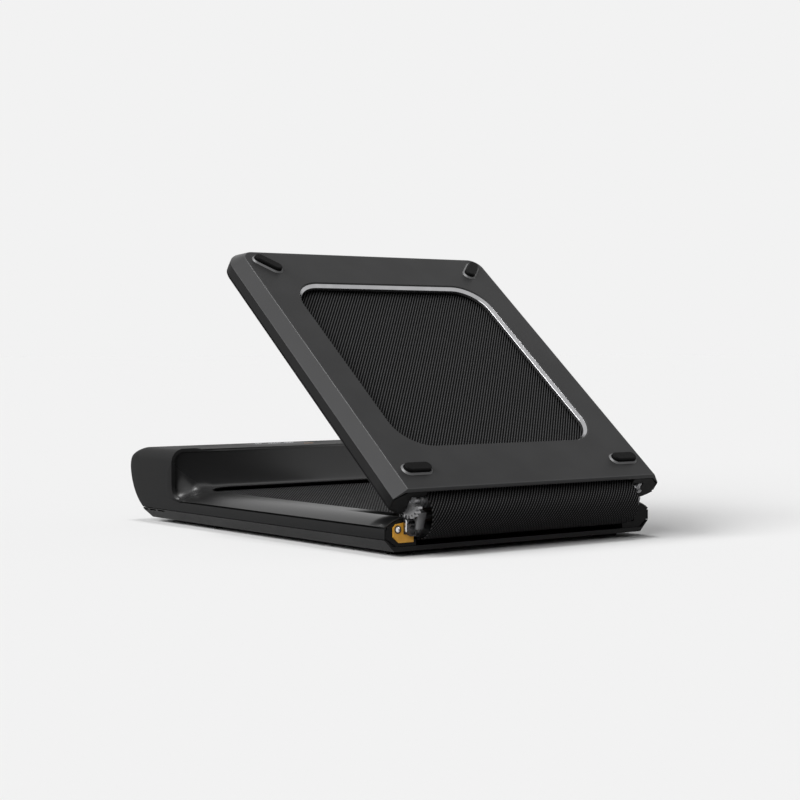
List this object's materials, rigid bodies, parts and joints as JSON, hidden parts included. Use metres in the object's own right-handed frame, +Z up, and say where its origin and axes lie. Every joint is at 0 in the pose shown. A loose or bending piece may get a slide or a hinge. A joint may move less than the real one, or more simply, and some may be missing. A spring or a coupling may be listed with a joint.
{
  "type": "folding walking pad",
  "caption": "Under-desk walking pad whose rear half folds up over the front half on a geared double hinge, with a hood over the drive end and a belt window underneath.",
  "frame": {"origin": "on the floor, midway along the length and the width in the rest pose", "axes": "+X right, +Y forward to the hood, +Z up"},
  "size_m": [0.54, 0.7964, 0.4651],
  "materials": {
    "orange_plastic": "smooth moulded guard",
    "rubber_pad": "soft rubber",
    "running_belt": "woven belt with a diamond grip",
    "drive_belt": "ribbed rubber",
    "deck_board": "coated fibre board",
    "cast_alloy": "die cast, shot blasted",
    "bright_steel": "machined",
    "roller_steel": "turned tube",
    "frame_steel": "powder coated",
    "drive_case": "satin",
    "display_gloss": "smoked window",
    "wheel_rubber": "moulded tread",
    "pan_plastic": "fine moulded grain",
    "switch_plastic": "moulded",
    "rim_plastic": "satin moulded",
    "shell_plastic": "satin moulded"
  },
  "bodies": {
    "front": {"belt_front": "running_belt", "controller_box": "roller_steel", "display_window": "display_gloss", "drive_belt": "drive_belt", "front_cross_tubes": "frame_steel", "front_deck": "deck_board", "front_deck_cushions": "rubber_pad", "front_end_caps": "shell_plastic", "front_foot_pads": "rubber_pad", "front_foot_rail_left": "shell_plastic", "front_foot_rail_right": "shell_plastic", "front_foot_rims": "rim_plastic", "front_hinge_leaves": "bright_steel", "front_pan": "pan_plastic", "front_roller_brackets": "frame_steel", "front_roller_shaft": "bright_steel", "front_side_tubes": "frame_steel", "front_skirt_left": "shell_plastic", "front_skirt_right": "shell_plastic", "guard_plate_screw": "bright_steel", "hinge_guard_plate": "orange_plastic", "hood_scoop": "shell_plastic", "hood_shell": "shell_plastic", "motor_bracket": "frame_steel", "motor_housing": "drive_case", "power_inlet": "switch_plastic", "wheel_axles": "bright_steel"},
    "fold_link": {"link_casting_left": "cast_alloy", "link_casting_right": "cast_alloy", "fold_shaft_front": "bright_steel", "fold_shaft_rear": "bright_steel", "fold_bridge": "cast_alloy", "belt_fold_lower": "running_belt", "belt_fold_upper": "running_belt"},
    "rear": {"belt_rear": "running_belt", "rear_cross_tubes": "frame_steel", "rear_deck": "deck_board", "rear_deck_cushions": "rubber_pad", "rear_end_caps": "shell_plastic", "rear_end_cover": "shell_plastic", "rear_foot_pads": "rubber_pad", "rear_foot_rail_left": "shell_plastic", "rear_foot_rail_right": "shell_plastic", "rear_foot_rims": "rim_plastic", "rear_hinge_leaves": "bright_steel", "rear_pan": "pan_plastic", "rear_roller_brackets": "frame_steel", "rear_roller_shaft": "bright_steel", "rear_side_tubes": "frame_steel", "rear_skirt": "shell_plastic", "tension_bolts": "bright_steel"},
    "front_roller": {"front_roller": "roller_steel", "roller_pulley": "bright_steel"},
    "rear_roller": {"rear_roller": "roller_steel"},
    "fold_roller_front": {"fold_roller_front": "roller_steel"},
    "fold_roller_rear": {"fold_roller_rear": "roller_steel"},
    "motor_rotor": {"motor_rotor": "bright_steel"},
    "wheel_left": {"wheel_left": "wheel_rubber"},
    "wheel_right": {"wheel_right": "wheel_rubber"},
    "rocker": {"rocker_switch": "switch_plastic"}
  },
  "joints": [
    {"name": "fold_link", "type": "hinge", "parent": "front", "child": "fold_link", "pos_m": [0, -0.35381, 0.0371], "axis": [1, 0, 0], "range_deg": [-19.43, 70.57], "deforming": ["belt_fold_lower", "belt_fold_upper"]},
    {"name": "rear_fold", "type": "hinge", "parent": "fold_link", "child": "rear", "pos_m": [0, -0.36991, 0.08274], "axis": [1, 0, 0], "range_deg": [-19.43, 70.57]},
    {"name": "front_roller_spin", "type": "hinge", "parent": "front", "child": "front_roller", "pos_m": [0, 0.33219, 0.0407], "axis": [1, 0, 0], "continuous": true},
    {"name": "rear_roller_spin", "type": "hinge", "parent": "rear", "child": "rear_roller", "pos_m": [0, 0.05906, 0.42377], "axis": [1, 0, 0], "continuous": true},
    {"name": "fold_roller_front_spin", "type": "hinge", "parent": "fold_link", "child": "fold_roller_front", "pos_m": [0, -0.35381, 0.0371], "axis": [1, 0, 0], "continuous": true},
    {"name": "fold_roller_rear_spin", "type": "hinge", "parent": "fold_link", "child": "fold_roller_rear", "pos_m": [0, -0.36991, 0.08274], "axis": [1, 0, 0], "continuous": true},
    {"name": "motor_spin", "type": "hinge", "parent": "front", "child": "motor_rotor", "pos_m": [0.15, 0.36419, 0.0919], "axis": [1, 0, 0], "continuous": true},
    {"name": "wheel_left_spin", "type": "hinge", "parent": "front", "child": "wheel_left", "pos_m": [-0.2165, 0.29019, 0.017], "axis": [1, 0, 0], "continuous": true},
    {"name": "wheel_right_spin", "type": "hinge", "parent": "front", "child": "wheel_right", "pos_m": [0.2165, 0.29019, 0.017], "axis": [1, 0, 0], "continuous": true},
    {"name": "rocker_tilt", "type": "hinge", "parent": "front", "child": "rocker", "pos_m": [0.044, 0.38119, 0.0865], "axis": [1, 0, 0], "range_deg": [-6, 6]}
  ],
  "couplings": [
    {"joint": "rear_fold", "follows": "fold_link", "ratio": 1},
    {"joint": "rear_roller_spin", "follows": "front_roller_spin", "ratio": 1},
    {"joint": "fold_roller_front_spin", "follows": "front_roller_spin", "ratio": 1.3077},
    {"joint": "fold_roller_rear_spin", "follows": "front_roller_spin", "ratio": 1.3077},
    {"joint": "motor_spin", "follows": "front_roller_spin", "ratio": 2.25}
  ]
}
